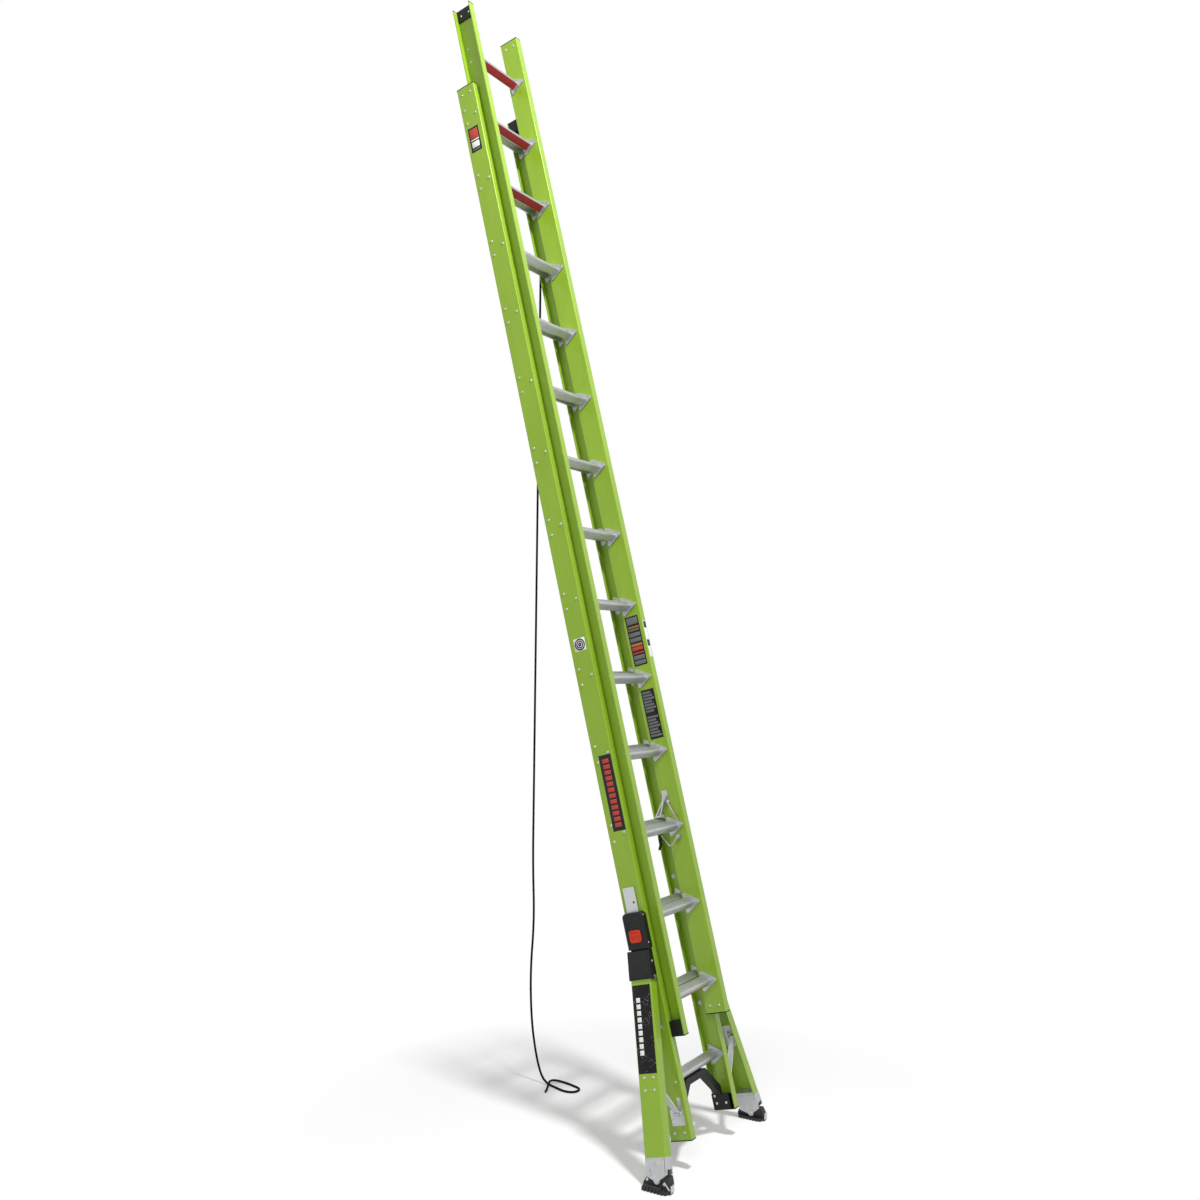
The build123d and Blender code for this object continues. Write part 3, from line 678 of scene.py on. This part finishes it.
def make_treads():
    """Raised ribs along the upper and lower faces of every rung."""
    half_width = 0.0009
    sunk = 0.0006
    proud = 0.0011
    edge = 0.0004
    plate_gap = 0.0045
    runs = [0.0145 + i * 0.0043 for i in range(6)] + [0.0395]
    for part in SECTIONS:
        half = part.face - plate_gap
        rib = block("rib", (-half, half), (-half_width, half_width), (-sunk, proud), edge, 1)
        places = []
        for i in range(RUNGS):
            for side in (1, -1):
                tip = Matrix.Rotation(SLOPE if side > 0 else math.pi - SLOPE, 4, "X")
                for run in runs:
                    n = part.back + RUNG_BACK + run * math.cos(SLOPE)
                    s = side * (RUNG_HALF - run * math.sin(SLOPE))
                    places.append(at(0, n, part.first + i * PITCH + s) @ tip)
        finished(scatter(rib, part.body + "_rung_ribs", places), "rung", part.body, LADDER)


def make_plate_rims():
    """Bright raised edges that meet at the tip of each rung's end plates."""
    sunk = 0.0002
    proud = 0.0018
    half_width = 0.0019
    half_length = 0.034
    edge = 0.0008
    slant = math.radians(59.26)
    forward = 0.0468
    rise = 0.0186
    for part in SECTIONS:
        bar = block("rim", (-proud, sunk), (-half_width, half_width), (-half_length, half_length), edge)
        places = []
        for i in range(RUNGS):
            for side in (1, -1):
                spot = at(part.face, part.back + forward, part.first + i * PITCH + side * rise)
                places.append(spot @ Matrix.Rotation(-side * slant, 4, "X"))
        rims = scatter(bar, part.body + "_plate_rims", both(places))
        finished(rims, "rung", part.body, LADDER)


def make_rivets():
    """Heads on the rungs' end plates, at the rail ends and on the track and strut plate."""
    corners = ((0.021, 0.031), (0.021, -0.031), (0.072, 0.0))
    for part in SECTIONS:
        spots = []
        for i in range(RUNGS):
            spots += [(part.back + n, part.first + i * PITCH + rise) for n, rise in corners]
        places = both(on_face(part.face, spots, INWARD))
        rivets(part.body + "_plate_rivets", PLATE_RIVET, places, part.body)

    base_rows = (0.024, 0.065)
    base_ends = (-0.176, 4.066)
    spots = [(n, s) for s in base_ends for n in base_rows]
    rivets("base_end_rivets", END_RIVET, both(on_face(BASE_WEB, spots, OUTWARD)), "base")

    fly_rows = (0.079, 0.120)
    fly_ends = (0.187, 4.432)
    plug_row = 4.436
    inner = on_face(FLY_WEB, [(n, s) for s in fly_ends for n in fly_rows], INWARD)
    outer = on_face(PLUG_FACE, [(n, plug_row) for n in fly_rows], OUTWARD)
    rivets("fly_end_rivets", END_RIVET, both(inner + outer), "fly")

    track_spots = ((0.0234, 0.703), (0.0625, 0.7025), (0.0234, 0.198), (0.0625, 0.198))
    plate_spots = ((0.030, -0.143), (0.030, -0.126), (0.071, -0.143), (0.071, -0.126), (0.070, -0.060))
    metal = on_face(TRACK_FACE, track_spots, OUTWARD) + on_face(STRUT_PLATE_FACE, plate_spots, OUTWARD)
    rivets("track_rivets", TRACK_RIVET, both(metal), "base")


def make_outrigger_metal():
    """Fasteners on the slider, yoke, shoe, brace and rail, and a black cup of painted shade in the track's
    lock hole.
    """
    slider_rows = (0.606, 0.505)
    slider_front = 0.093
    slider_back = 0.004
    heads = [at(HINGE_X, slider_front, s) @ FORWARD for s in slider_rows]
    heads += [at(HINGE_X, slider_back, s) @ BACKWARD for s in slider_rows]
    rivet_pair("slider_rivets", SLIDER_RIVET, heads, "slider_SIDE", LADDER)
    heads = [leg_at(0.012, 0.090, -0.055) @ FORWARD, leg_at(0.012, -0.004, -0.055) @ BACKWARD]
    rivet_pair("yoke_rivets", YOKE_RIVET, heads, "leg_SIDE", LEG)
    heads = [leg_at(SHOE_FACE, n, u) @ OUTWARD for n, u in ((-0.0005, 0.6688), (0.0664, 0.6890))]
    rivet_pair("shoe_rivets", SHOE_RIVET, heads, "shoe_SIDE", LEG)
    heads = on_face(BRACE_FACE, ((0.0145, -0.150), (0.018, -0.1775), (0.059, -0.1765)), INWARD)
    rivet_pair("brace_rivets", BRACE_RIVET, heads, "base", LADDER)
    heads = on_face(BASE_INSIDE, ((0.013, -0.071), (0.050, -0.090)), INWARD)
    rivet_pair("web_rivets", WEB_RIVET, heads, "base", LADDER)
    nuts = on_face(BASE_INSIDE, ((0.018, 0.697), (0.0155, 0.198)), INWARD)
    pair(scatter(washer_nut(), "track_nuts", nuts), "track_nuts", "zinc", "base", LADDER)
    # The black cup is painted shade in each track's lock hole.
    pair(track_socket(), "track_socket", "black", "base", LADDER)


def make_buttons():
    """Push button with a finger hollow and a grip bar, and the rim round it."""
    key = rounded_plate(
        "button_face", (0.225, 0.235), (0.022, 0.072), (0.510, 0.555), corner=0.010, edge=0.0018,
    )
    sink(key, faces_out, rim=0.004, wall=0.0022, depth=0.0022)
    grip = rounded_plate(
        "grip", (0.2328, 0.2362), (0.0275, 0.0665), (0.5350, 0.5425), corner=0.0036, edge=0.0014,
    )
    made = joined([key, grip], "button_face")
    smooth(made)
    pair(made, "button_face", "button", "button_SIDE", LADDER)
    for side in ("left", "right"):
        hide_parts("button_" + side)
    rim = rounded_plate(
        "button_rim", (0.2302, 0.2322), (0.0185, 0.0755), (0.5065, 0.5585), corner=0.012, edge=0.0006,
    )
    open_middle(rim, rim=0.0026)
    smooth(rim)
    pair(rim, "button_rim", "black", "slider_SIDE", LADDER)


def make_panels():
    """Raised moulding on the faces of the slider and the yoke."""
    border = rounded_plate(
        "border", (0.2304, 0.2320), (0.008, 0.089), (0.4885, 0.6120), corner=0.012, edge=0.0005,
    )
    open_middle(border, rim=0.0088)
    brow = rounded_plate(
        "brow", (0.2304, 0.2318), (0.014, 0.083), (0.5860, 0.6070), corner=0.004, edge=0.0005,
    )
    made = joined([border, brow], "slider_pad")
    smooth(made)
    pair(made, "slider_pad", "black", "slider_SIDE", LADDER)
    pad = rounded_plate(
        "yoke_pad", (0.0320, 0.0338), (0.002, 0.085), (-0.0015, 0.0905), corner=0.012, edge=0.0008,
    )
    pair(pad, "yoke_pad", "black", "leg_SIDE", LEG)


def slanted(start, end, width, face, rise):
    """Bar on the outer face of boot or shoe between two (forward, down the leg) points."""
    sunk = 0.0004
    edge = width * 0.22
    (n0, u0), (n1, u1) = start, end
    run = math.hypot(n1 - n0, u1 - u0)
    bar = block("rib", (face - sunk, face + rise), (-width / 2, width / 2), (-run / 2, run / 2), edge)
    turn = Matrix.Rotation(math.atan2(n1 - n0, u0 - u1), 4, "X")
    bar.data.transform(leg_at(0, (n0 + n1) / 2, (u0 + u1) / 2) @ turn)
    return bar


def make_boot_ribs():
    """Cast rims round the boot's lobe and sleeve, thin black strips of painted shade along its slits, and
    the spur's arm on the shoe.
    """
    lobe = ((0.0035, 0.655), (0.0305, 0.6735), (0.0375, 0.6825))
    lobe += ((0.0455, 0.6825), (0.0535, 0.6735), (0.0825, 0.655))
    bars = [slanted(a, b, width=0.0028, face=LEG_FACE, rise=0.0014) for a, b in zip(lobe, lobe[1:])]
    for start, end, width, rise in (
        ((0.040, 0.622), (0.078, 0.652), 0.0030, 0.0016),
        ((0.020, 0.628), (0.020, 0.660), 0.0024, 0.0012),
        ((0.004, 0.6045), (0.082, 0.6045), 0.0030, 0.0010),
        ((0.040, 0.607), (0.040, 0.622), 0.0024, 0.0010),
    ):
        bars.append(slanted(start, end, width, LEG_FACE, rise))
    pair(joined(bars, "boot_ribs"), "boot_ribs", "cast", "leg_SIDE", LEG)
    # Thin black strips as painted shade along the boot's slits, at its front edge and near its back.
    front_shade_line = slanted((0.0795, 0.604), (0.0795, 0.652), width=0.0015, face=LEG_FACE, rise=0.0003)
    back_shade_line = slanted((0.0170, 0.640), (0.0215, 0.655), width=0.0018, face=LEG_FACE, rise=0.0003)
    pair(joined([front_shade_line, back_shade_line], "boot_slits"), "boot_slits", "black", "leg_SIDE", LEG)
    arm = slanted((0.0690, 0.6810), (0.0875, 0.7080), width=0.0055, face=SHOE_FACE, rise=0.0050)
    pair(arm, "spur_arm", "zinc", "shoe_SIDE", LEG)


def film_span(face, layer, way):
    """Limits of a film that lies on a face, as layer 0, or on such a film, as layer 1."""
    return sorted((face + way * layer * FILM, face + way * (layer + 1) * FILM))


def film_at(name, look, body, xs, ns, ss):
    """Film on the ladder, from its limits."""
    finished(block(name, xs, ns, ss, FILM_EDGE), look, body, LADDER)


def ring(radius, width):
    """Flattened ring round the z axis."""
    clear_selection()
    bpy.ops.mesh.primitive_torus_add(
        major_radius=radius, minor_radius=width, major_segments=40, minor_segments=8,
    )
    made = bpy.context.object
    made.data.transform(Matrix.Scale(0.12, 4, (0, 0, 1)))
    return made


def make_near_labels():
    """On the near base rail: a long film with red blocks, a square with rings and a small film above."""
    under = film_span(-BASE_WEB, 0, -1)
    over = film_span(-BASE_WEB, 1, -1)
    red_blocks = 12
    red_step = 0.0222
    film_at("near_long_film", "film_black", "base", under, (0.0265, 0.082), (0.921, 1.2115))
    bar = block("bar", over, (0.039, 0.068), (0.936, 0.9515), BAR_EDGE)
    red = scatter(bar, "near_long_red", [at(0, 0, i * red_step) for i in range(red_blocks)])
    finished(red, "film_red", "base", LADDER)
    film_at("near_square_film", "film_white", "base", under, (0.0205, 0.0725), (1.6235, 1.6735))
    film_at("near_small_film", "film_black", "base", under, (0.0145, 0.0685), (3.794, 3.906))
    film_at("near_small_red", "film_red", "base", over, (0.0205, 0.0625), (3.853, 3.897))
    film_at("near_small_line", "film_white", "base", over, (0.0205, 0.0625), (3.845, 3.8505))
    film_at("near_small_white", "film_white", "base", over, (0.0225, 0.0605), (3.813, 3.839))
    film_at("near_small_foot", "film_grey", "base", over, (0.0225, 0.0605), (3.801, 3.807))
    sizes = ((0.0208, 0.0027), (0.0132, 0.0026), (0.0044, 0.0032))
    rings = [ring(radius, width) for radius, width in sizes]
    target = joined(rings, "near_square_rings")
    target.data.transform(at(-BASE_WEB - FILM, 0.0465, 1.6485) @ OUTWARD)
    smooth(target)
    finished(target, "film_blue", "base", LADDER)


def make_far_labels():
    """On the far fly rail: two films with bars on its inner web, and a white film on its front."""
    under = film_span(FLY_WEB, 0, -1)
    over = film_span(FLY_WEB, 1, -1)
    film_at("far_upper_film", "film_black", "fly", under, (0.067, 0.1285), (1.554, 1.762))
    film_at("far_lower_film", "film_black", "fly", under, (0.069, 0.130), (1.248, 1.452))
    bars = {"film_grey": [], "film_orange": [], "film_red": []}
    upper_ends = (0.072, 0.1235)
    for low, high, look in (
        (1.728, 1.756, "film_grey"), (1.7125, 1.7185, "film_orange"), (1.700, 1.708, "film_grey"),
        (1.676, 1.692, "film_grey"), (1.654, 1.670, "film_grey"), (1.636, 1.646, "film_orange"),
        (1.618, 1.632, "film_red"), (1.604, 1.610, "film_red"), (1.580, 1.597, "film_grey"),
        (1.560, 1.575, "film_grey"),
    ):
        bars[look].append(block("bar", over, upper_ends, (low, high), BAR_EDGE))
    lower_ends = (0.074, 0.125)
    ragged = 0.006
    lines = 15
    gap_line = 7
    lowest_line = 1.257
    line_step = 0.0127
    line_height = 0.0085
    for i in range(lines):
        if i == gap_line:
            continue
        low = lowest_line + i * line_step
        ends = (lower_ends[0], lower_ends[1] - ragged * (i % 3))
        bars["film_grey"].append(block("bar", over, ends, (low, low + line_height), BAR_EDGE))
    for look, made in bars.items():
        finished(joined(made, look.replace("film", "far_bars")), look, "fly", LADDER)
    front = film_span(FLY_FRONT, 0, 1)
    front_over = film_span(FLY_FRONT, 1, 1)
    film_at("far_edge_film", "film_white", "fly", (0.164, 0.188), front, (1.580, 1.733))
    dark = [block("bar", (0.166, 0.186), front_over, s, BAR_EDGE) for s in ((1.703, 1.731), (1.626, 1.652))]
    finished(joined(dark, "far_edge_bars"), "film_black", "fly", LADDER)


def make_leg_labels():
    """A long flecked film with white blocks on each leg."""
    white_blocks = 9
    white_step = 0.0226
    under = block("leg_film", film_span(LEG_FACE, 0, 1), (0.004, 0.080), (-0.329, -0.0255), FILM_EDGE)
    pair(under, "leg_film", "film_speckle", "leg_SIDE", LEG)
    bar = block("bar", film_span(LEG_FACE, 1, 1), (0.017, 0.034), (-0.0865, -0.070), BAR_EDGE)
    bars = scatter(bar, "leg_bar", [leg_at(0, 0, i * white_step) for i in range(white_blocks)])
    pair(bars, "leg_bar", "film_white", "leg_SIDE", LEG)


def ribbon(name, points, half, thickness):
    """Strip bent through (forward, up) points, as wide as the rung is long."""
    clear_selection()
    bpy.ops.mesh.primitive_plane_add(size=1)
    band = bpy.context.object
    band.name = name
    (n0, s0), (n1, s1) = points[:2]
    band.scale = (2 * half, math.hypot(n1 - n0, s1 - s0), 1)
    band.rotation_euler = (math.atan2(s1 - s0, n0 - n1), 0, 0)
    band.location = (0, -(n0 + n1) / 2, (s0 + s1) / 2)
    bpy.ops.object.transform_apply(location=True, rotation=True, scale=True)
    for (na, sa), (nb, sb) in zip(points[1:], points[2:]):
        end = Vector((0, -na, sa))
        pick_edges(band, lambda a, b: (a.lerp(b, 0.5) - end).length < TOUCH)
        bpy.ops.mesh.extrude_region_move(TRANSFORM_OT_translate={"value": (0, na - nb, sb - sa)})
        bpy.ops.object.mode_set(mode="OBJECT")
    bpy.ops.object.mode_set(mode="EDIT")
    bpy.ops.mesh.select_all(action="SELECT")
    bpy.ops.mesh.normals_make_consistent(inside=False)
    bpy.ops.object.mode_set(mode="OBJECT")
    shell = band.modifiers.new("shell", "SOLIDIFY")
    shell.thickness = thickness
    shell.offset = 0
    bpy.ops.object.modifier_apply(modifier=shell.name)
    smooth(band, 50)
    return band


def make_strips():
    """Red strips on the lower fronts of the three highest fly rungs, and a brown one under the lowest."""
    lift = 0.0012
    half = 0.147
    thickness = 0.0008
    lower = math.degrees(SLOPE) - 90
    nose = Vector((RUNG_BACK + RUNG_DEPTH - RUNG_ROUND / math.sin(SLOPE), 0.0))
    heel_rise = RUNG_ROUND * (math.tan(SLOPE) + 1 / math.cos(SLOPE)) - RUNG_HALF
    heel = Vector((RUNG_BACK + RUNG_ROUND, heel_rise))
    wide = [(heel, -90), (heel, -75), (heel, lower), (nose, lower), (nose, lower + 8)]
    narrow = [(heel, -105), (heel, -90), (heel, -75), (heel, lower), (heel.lerp(nose, 0.3), lower)]
    strips = []
    for i, turns in ((11, wide), (12, wide), (13, wide), (0, narrow)):
        points = []
        for centre, degrees in turns:
            a = math.radians(degrees)
            n = centre.x + (RUNG_ROUND + lift) * math.cos(a) + FLY_OFFSET
            s = centre.y + (RUNG_ROUND + lift) * math.sin(a) + FLY_RAISE + i * PITCH
            points.append((n, s))
        strips.append(ribbon("strip", points, half, thickness))
    finished(strips.pop(), "film_brown", "fly", LADDER).name = "lowest_rung_strip"
    finished(joined(strips, "upper_rung_strips"), "strip_red", "fly", LADDER)


def rope_points():
    """The free rope's route: over the wheel, down, and round its loop on the floor."""
    wheel = ((HAUL_X, MEETS_S), (HAUL_X, CRESTS_S), (FREE_X, CRESTS_S), (FREE_X, MEETS_S))
    over = [tuple(LADDER @ Vector((x, -ROPE_N, s))) for x, s in wheel]
    rest = [
        (0.2360, 0.9961, 4.040), (0.2360, 0.9960, 1.180), (0.2360, 0.9960, 0.940), (0.2410, 0.9880, 0.700),
        (0.2330, 1.0000, 0.480), (0.2370, 0.9940, 0.270), (0.2520, 0.9780, 0.120), (0.2620, 0.9550, 0.028),
        (0.2540, 0.9150, 0.00515), (0.2390, 0.8700, 0.00515), (0.2240, 0.8280, 0.00515),
        (0.2200, 0.7960, 0.00515), (0.2305, 0.7705, 0.00515), (0.2560, 0.7600, 0.00515),
        (0.2815, 0.7705, 0.00515), (0.2920, 0.7960, 0.00515), (0.3040, 0.8380, 0.00515),
        (0.3120, 0.8800, 0.00515), (0.3000, 0.9060, 0.01015), (0.2720, 0.9140, 0.01545),
        (0.2400, 0.9020, 0.01545), (0.2060, 0.8860, 0.00515), (0.1720, 0.8720, 0.00515),
    ]
    return over + rest


def spline(name, points):
    """The rope along a route, whose points are the curve's control points."""
    curve = bpy.data.curves.new(name, "CURVE")
    curve.dimensions = "3D"
    line = curve.splines.new("NURBS")
    line.points.add(len(points) - 1)
    for point, place in zip(line.points, points):
        point.co = (*place, 1)
    line.order_u = 3
    line.use_endpoint_u = True
    line.resolution_u = 10
    curve.bevel_depth = ROPE_RADIUS
    curve.bevel_resolution = 4
    curve.use_fill_caps = True
    obj = bpy.data.objects.new(name, curve)
    bpy.context.scene.collection.objects.link(obj)
    return obj


def make_free_rope():
    """The run that hangs to the floor."""
    free = spline("free_rope", rope_points())
    free.data.materials.append(MAT["rope"])
    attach(free, "base")
    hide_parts("rope_free")


def make_haul_rope():
    """The run from the wheel to the foot of the fly, as a mesh."""
    run = [LADDER @ Vector((HAUL_X, -ROPE_N, s)) for s in (MEETS_S, 3.855, 2.6, 1.4, 0.311, 0.254)]
    line = spline("haul_line", [tuple(p) for p in run])
    mesh = bpy.data.meshes.new_from_object(line.evaluated_get(bpy.context.evaluated_depsgraph_get()))
    haul = bpy.data.objects.new("haul_rope", mesh)
    bpy.context.scene.collection.objects.link(haul)
    bpy.data.objects.remove(line)
    haul.data.materials.clear()
    haul.data.materials.append(MAT["rope"])
    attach(haul, "base")
    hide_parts("rope_haul")
    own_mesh(haul)


def make_floor():
    """White floor that keeps the ladder's shadow near it and fades to plain white."""
    clear_selection()
    bpy.ops.mesh.primitive_circle_add(vertices=64, radius=30, fill_type="NGON")
    floor = bpy.context.object
    floor.name = "floor"
    f = Finish("floor_white", (0.9, 0.9, 0.9, 1), rough=0.9, specular=0.0)
    here = f.node("ShaderNodeTexCoord", out="Object")
    shadow_middle = (0.1, 0.3, 0)
    far = f.node("ShaderNodeVectorMath", {"operation": "DISTANCE"}, {0: here, 1: shadow_middle}, "Value")
    fade = f.ramp(far * 0.5, [(0.42, 0), (0.76, 1)])
    glow = f.node("ShaderNodeEmission", {}, {"Color": WHITE, "Strength": 1.0})
    lift = f.node("ShaderNodeEmission", {}, {"Color": WHITE, "Strength": FLOOR_LIFT})
    surface = Wire(f, f.shader.outputs[0])
    lit = f.node("ShaderNodeAddShader", {}, {0: surface, 1: lift})
    shown = f.node("ShaderNodeMixShader", {}, {0: fade, 1: lit, 2: glow})
    f.show(f.node("ShaderNodeMixShader", {}, {0: f.shown_rays(), 1: surface, 2: shown}))
    floor.data.materials.append(f.mat)


def make_world():
    """Even light all round, and a white backdrop where it is seen."""
    world = bpy.data.worlds.new("studio")
    bpy.context.scene.world = world
    world.use_nodes = True
    sky = Net(world.node_tree)
    light = sky.node("ShaderNodeBackground", {}, {"Color": WHITE, "Strength": WORLD_LIGHT})
    backdrop = sky.node("ShaderNodeBackground", {}, {"Color": WHITE, "Strength": 1.0})
    sky.show(sky.node("ShaderNodeMixShader", {}, {0: sky.shown_rays(), 1: light, 2: backdrop}))


def lamp(name, place, target, size, power):
    data = bpy.data.lights.new(name, "AREA")
    data.shape = "DISK"
    data.size = size
    data.energy = power
    obj = bpy.data.objects.new(name, data)
    obj.location = place
    aim = Vector(target) - Vector(place)
    obj.rotation_euler = aim.to_track_quat("-Z", "Y").to_euler()
    bpy.context.scene.collection.objects.link(obj)


def make_lamps():
    """One lamp overhead on the climber's side, and a wide soft one at the climber's left."""
    lamp("key", place=(-1.0, -1.4, 6.5), target=(0, 0, 0), size=0.6, power=260)
    lamp("fill", place=(-5.5, -1.8, 5.2), target=(0, 0.5, 2.6), size=3.0, power=105)


def make_view():
    """The camera of the photo."""
    cam = bpy.data.cameras.new("photo_view")
    cam.sensor_width = CAMERA_SENSOR
    cam.lens = CAMERA_LENS
    cam.clip_end = 200
    obj = bpy.data.objects.new("photo_view", cam)
    obj.location = CAMERA_PLACE
    obj.rotation_euler = [math.radians(a) for a in CAMERA_DEGREES]
    bpy.context.scene.collection.objects.link(obj)
    bpy.context.scene.camera = obj
    bpy.context.scene.view_settings.view_transform = "Standard"


wear_cad()
make_treads()
make_rivets()
make_plate_rims()
make_outrigger_metal()
make_buttons()
make_panels()
make_boot_ribs()
make_near_labels()
make_far_labels()
make_leg_labels()
make_strips()
make_free_rope()
make_haul_rope()
make_floor()
make_world()
make_lamps()
make_view()
